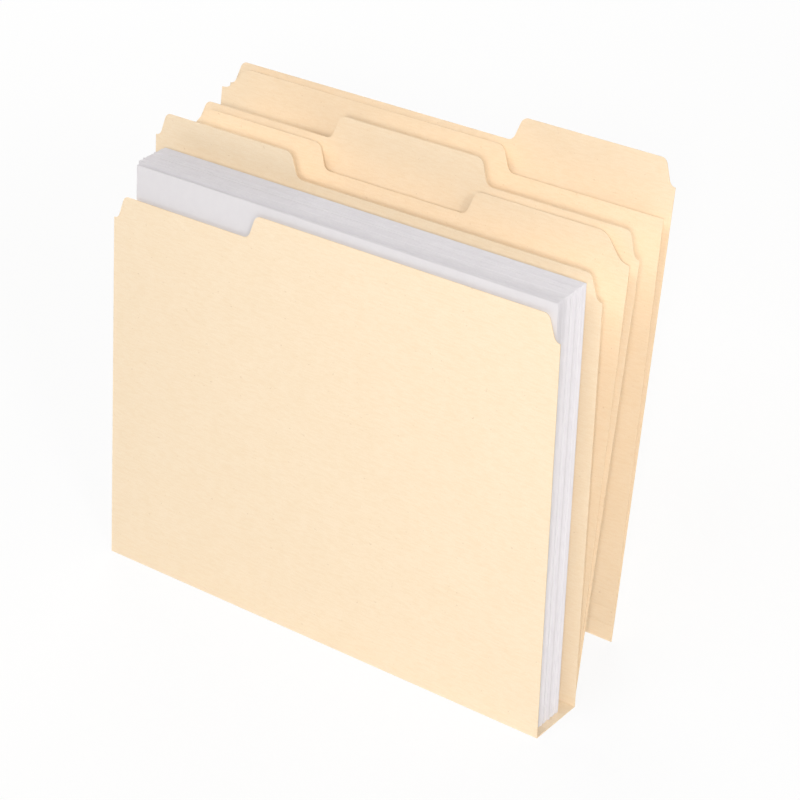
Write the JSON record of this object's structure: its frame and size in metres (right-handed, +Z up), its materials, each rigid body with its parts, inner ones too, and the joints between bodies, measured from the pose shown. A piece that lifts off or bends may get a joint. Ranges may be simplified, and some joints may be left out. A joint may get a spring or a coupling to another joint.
{
  "type": "manila folder set",
  "caption": "Fanned set of third-cut manila file folders with staggered tabs; the front folder is squared out and holds a sheaf of plain paper, its flaps fold on the scores and sheets pull out.",
  "frame": {"origin": "middle of the underside of the front folder's squared floor", "axes": "+X along the folds to the right, +Y from the front folder to the back one, +Z up"},
  "size_m": [0.3159, 0.1684, 0.2237],
  "materials": {
    "manila_card": "matte manila card, 11 point",
    "paper": "matte white copy paper"
  },
  "bodies": {
    "left_floor": {"left_score_strip_1": "manila_card", "left_score_strip_2": "manila_card", "left_score_strip_3": "manila_card", "left_score_strip_4": "manila_card"},
    "left_front": {"left_front_flap": "manila_card"},
    "left_back": {"left_back_flap": "manila_card"},
    "loose_paper": {"loose_sheets": "paper"},
    "paper_sheaf": {"paper_bundle_01": "paper", "paper_bundle_02": "paper", "paper_bundle_03": "paper", "paper_bundle_04": "paper", "paper_bundle_05": "paper", "paper_bundle_06": "paper", "paper_bundle_07": "paper", "paper_bundle_08": "paper", "paper_bundle_09": "paper", "paper_bundle_10": "paper", "paper_bundle_11": "paper", "paper_bundle_12": "paper"},
    "center_folder": {"center_front_flap": "manila_card", "center_score_strip_1": "manila_card", "center_score_strip_2": "manila_card"},
    "center_back": {"center_score_strip_3": "manila_card", "center_score_strip_4": "manila_card", "center_back_flap": "manila_card"},
    "right_folder": {"right_front_flap": "manila_card", "right_score_strip_1": "manila_card", "right_score_strip_2": "manila_card"},
    "right_back": {"right_score_strip_3": "manila_card", "right_score_strip_4": "manila_card", "right_back_flap": "manila_card"}
  },
  "joints": [
    {"name": "left_front_fold", "type": "hinge", "parent": "left_floor", "child": "left_front", "pos_m": [0, -0.014, 0.00014], "axis": [1, 0, 0], "range_deg": [0, 105.8]},
    {"name": "left_back_fold", "type": "hinge", "parent": "left_floor", "child": "left_back", "pos_m": [0, 0.014, 0.00014], "axis": [-1, 0, 0], "range_deg": [-1.8, 5.5]},
    {"name": "loose_sheets_pull", "type": "slide", "parent": "left_floor", "child": "loose_paper", "axis": [0, 0.2773, 0.9608], "range_m": [0, 0.22]},
    {"name": "paper_sheaf_pull", "type": "slide", "parent": "left_floor", "child": "paper_sheaf", "axis": [0, 0.279, 0.9603], "range_m": [0, 0.22]},
    {"name": "center_folder_pull", "type": "slide", "parent": "left_floor", "child": "center_folder", "axis": [1, 0, 0], "range_m": [0, 0.31]},
    {"name": "center_back_fold", "type": "hinge", "parent": "center_folder", "child": "center_back", "pos_m": [-0.0053, 0.02084, 0.00014], "axis": [-1, 0, 0], "range_deg": [-1.5, 6]},
    {"name": "right_folder_pull", "type": "slide", "parent": "left_floor", "child": "right_folder", "axis": [1, 0, 0], "range_m": [0, 0.32]},
    {"name": "right_back_fold", "type": "hinge", "parent": "right_folder", "child": "right_back", "pos_m": [-0.0175, 0.06324, 0.00014], "axis": [-1, 0, 0], "range_deg": [-1.2, 67.85]}
  ]
}
